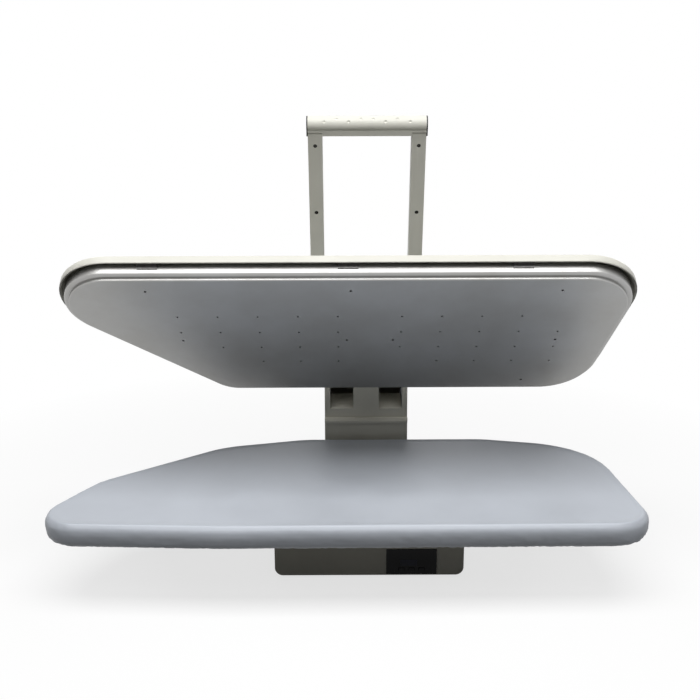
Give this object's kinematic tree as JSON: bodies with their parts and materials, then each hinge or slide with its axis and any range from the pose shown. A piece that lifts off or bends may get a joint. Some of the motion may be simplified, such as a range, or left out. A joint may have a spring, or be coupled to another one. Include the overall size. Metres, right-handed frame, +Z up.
{
  "type": "steam ironing press",
  "caption": "Tabletop steam ironing press: padded board on a base, perforated heated head on a rear hinge column, and a two-arm handle that presses the head down.",
  "frame": {"origin": "on the table, under the middle of the press's width and depth", "axes": "+Z up, +X to the user's right along the board, +Y to the rear, away from the user"},
  "size_m": [0.91, 0.5174, 0.7109],
  "materials": {
    "casing": "fine moulded grain, warm light grey",
    "head_casing": "fine moulded grain, warm light grey",
    "dark_trim": "matt black",
    "gloss_panel": "polished black",
    "display_lens": "smoked window",
    "press_plate": "satin",
    "board_sheet": "mill finish",
    "cover_cloth": "silvered cloth with a soft sheen",
    "foam": "open cell",
    "plated_steel": "zinc plated",
    "screw_steel": "dark zinc",
    "ground_steel": "ground",
    "spring_steel": "oiled",
    "bush_bronze": "sintered",
    "blanket": "needled felt",
    "silicone": "translucent",
    "foot_rubber": "matt",
    "circuit": "solder mask",
    "tank_plastic": "translucent"
  },
  "bodies": {
    "base": {"base_housing": "casing", "base_deck": "plated_steel", "deck_screws": "screw_steel", "rubber_feet": "foot_rubber", "foot_screws": "screw_steel", "chassis_plate": "plated_steel", "power_board": "circuit", "panel_bezel": "gloss_panel", "display_lens": "display_lens", "control_board": "circuit", "cord_gland": "dark_trim", "switch_frame": "dark_trim", "board_pan": "board_sheet", "board_plate": "board_sheet", "pad_foam": "foam", "board_cover": "cover_cloth", "board_posts": "plated_steel", "column_block": "casing", "column_housing": "casing", "column_back": "casing", "hinge_bracket": "plated_steel", "hinge_shaft": "ground_steel", "stop_rod": "plated_steel", "lift_springs": "spring_steel", "hub_spacers": "bush_bronze", "pivot_washers": "bush_bronze"},
    "head": {"heat_plate": "press_plate", "plate_screws": "screw_steel", "steam_chamber": "press_plate", "heater_element": "plated_steel", "head_frame": "plated_steel", "insulation_blanket": "blanket", "thermostat": "plated_steel", "steam_pump": "dark_trim", "steam_hose": "silicone", "feed_hose": "silicone", "head_shell": "head_casing", "plate_clips": "plated_steel", "head_arms": "head_casing", "arm_bolts": "screw_steel", "hinge_bushes": "bush_bronze", "tank_dock": "casing"},
    "tank": {"water_tank": "tank_plastic"},
    "cap": {"tank_cap": "dark_trim"},
    "handle": {"handle_lower_covers": "head_casing", "handle_upper_covers": "head_casing", "handle_frame": "plated_steel", "handle_bushes": "bush_bronze", "handle_screws": "screw_steel", "pivot_caps": "dark_trim", "grip": "head_casing", "grip_caps": "dark_trim", "button_switch": "circuit"},
    "button": {"steam_button": "dark_trim"},
    "left_key": {"key_left": "gloss_panel"},
    "middle_key": {"key_middle": "gloss_panel"},
    "right_key": {"key_right": "gloss_panel"},
    "rocker": {"power_rocker": "dark_trim"}
  },
  "joints": [
    {"name": "head_hinge", "type": "hinge", "parent": "base", "child": "head", "pos_m": [0.035, 0.20925, 0.2286], "axis": [1, 0, 0], "range_deg": [0, 48], "stiffness_Nm_per_rad": 30, "springref_deg": -68.75},
    {"name": "handle_press", "type": "hinge", "parent": "head", "child": "handle", "pos_m": [0.035, 0.20925, 0.2286], "axis": [1, 0, 0], "range_deg": [0, 26.5], "stiffness_Nm_per_rad": 6, "springref_deg": -34.38},
    {"name": "steam_button_press", "type": "slide", "parent": "handle", "child": "button", "axis": [0, -0.9636, -0.2672], "range_m": [0, 0.0018], "stiffness_N_per_m": 500, "springref_m": -0.002},
    {"name": "tank_lift", "type": "slide", "parent": "head", "child": "tank", "axis": [0, 0.7431, 0.6691], "range_m": [0, 0.06]},
    {"name": "cap_pull", "type": "slide", "parent": "tank", "child": "cap", "axis": [0, 0.7431, 0.6691], "range_m": [0, 0.02]},
    {"name": "left_key_press", "type": "slide", "parent": "base", "child": "left_key", "axis": [0, 1, 0], "range_m": [0, 0.0012], "stiffness_N_per_m": 400, "springref_m": -0.001},
    {"name": "middle_key_press", "type": "slide", "parent": "base", "child": "middle_key", "axis": [0, 1, 0], "range_m": [0, 0.0012], "stiffness_N_per_m": 400, "springref_m": -0.001},
    {"name": "right_key_press", "type": "slide", "parent": "base", "child": "right_key", "axis": [0, 1, 0], "range_m": [0, 0.0012], "stiffness_N_per_m": 400, "springref_m": -0.001},
    {"name": "power_rocker_tilt", "type": "hinge", "parent": "base", "child": "rocker", "pos_m": [-0.07, 0.25315, 0.043], "axis": [1, 0, 0], "range_deg": [-14, 0]}
  ]
}
